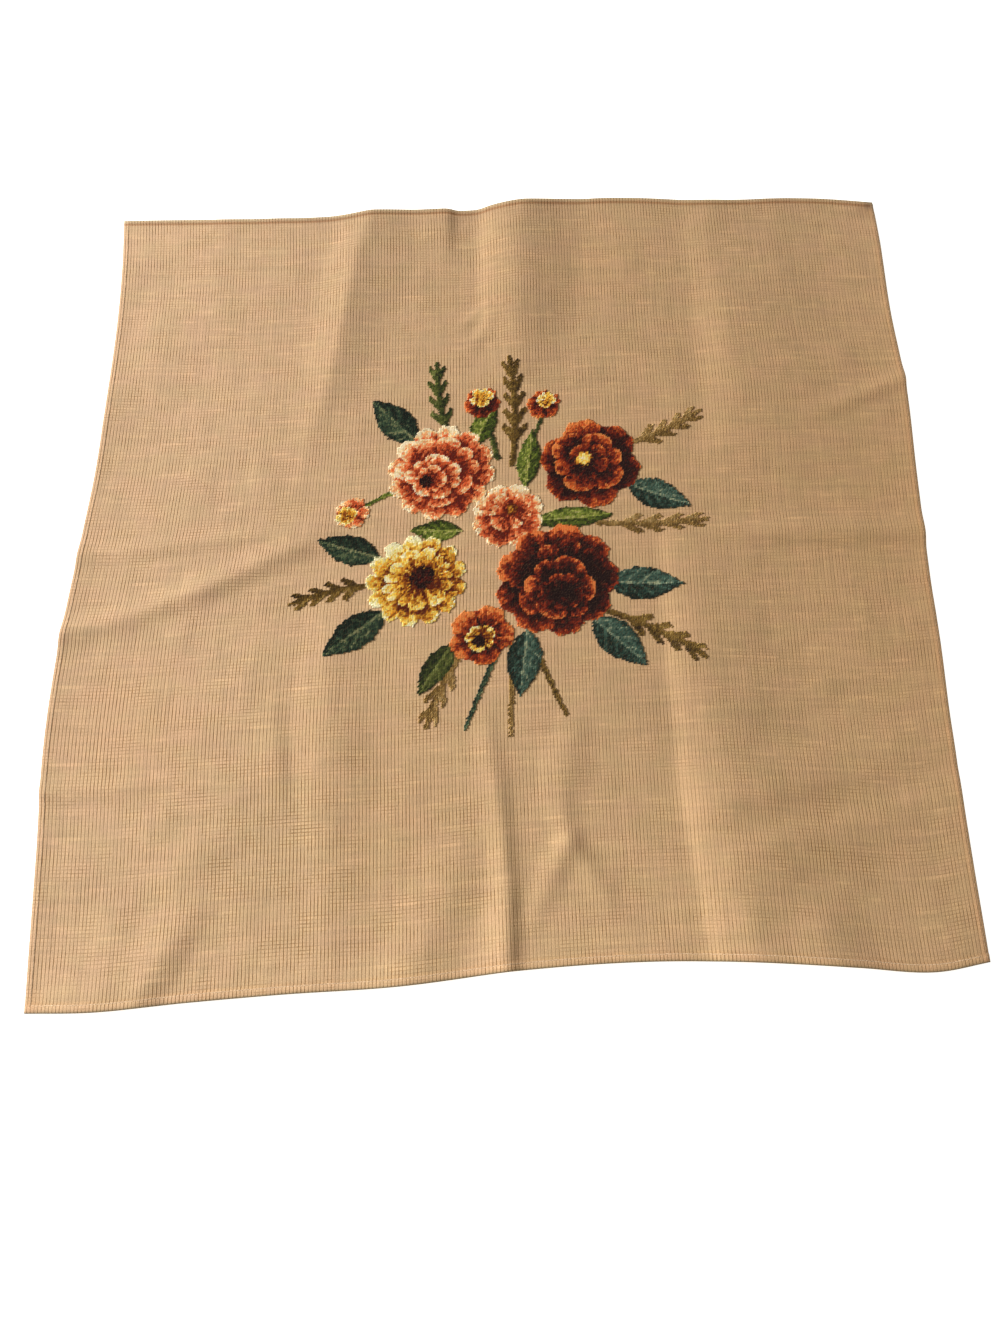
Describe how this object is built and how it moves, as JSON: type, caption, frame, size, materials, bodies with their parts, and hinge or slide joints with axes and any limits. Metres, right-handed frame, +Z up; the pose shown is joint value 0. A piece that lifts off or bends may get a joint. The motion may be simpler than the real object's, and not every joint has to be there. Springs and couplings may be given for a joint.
{
  "type": "needlepoint canvas panel",
  "caption": "Square of needlepoint canvas with a turned hem and a wool flower bouquet, laid out flat with its folds and ripples.",
  "frame": {"origin": "middle of the laid canvas's outline, on the surface that it lies on", "axes": "+X to the panel's right seen with the bouquet upright, +Y towards its upper edge, +Z up through the cloth"},
  "size_m": [0.6068, 0.5983, 0.0107],
  "materials": {
    "canvas": "undyed stiffened cotton canvas, matt, with double threads",
    "wool": "dyed tapestry wool in slanted stitches, matt and slightly fuzzy",
    "thread": "pale cotton sewing thread"
  },
  "bodies": {
    "root": {"canvas": "canvas"}
  },
  "joints": []
}
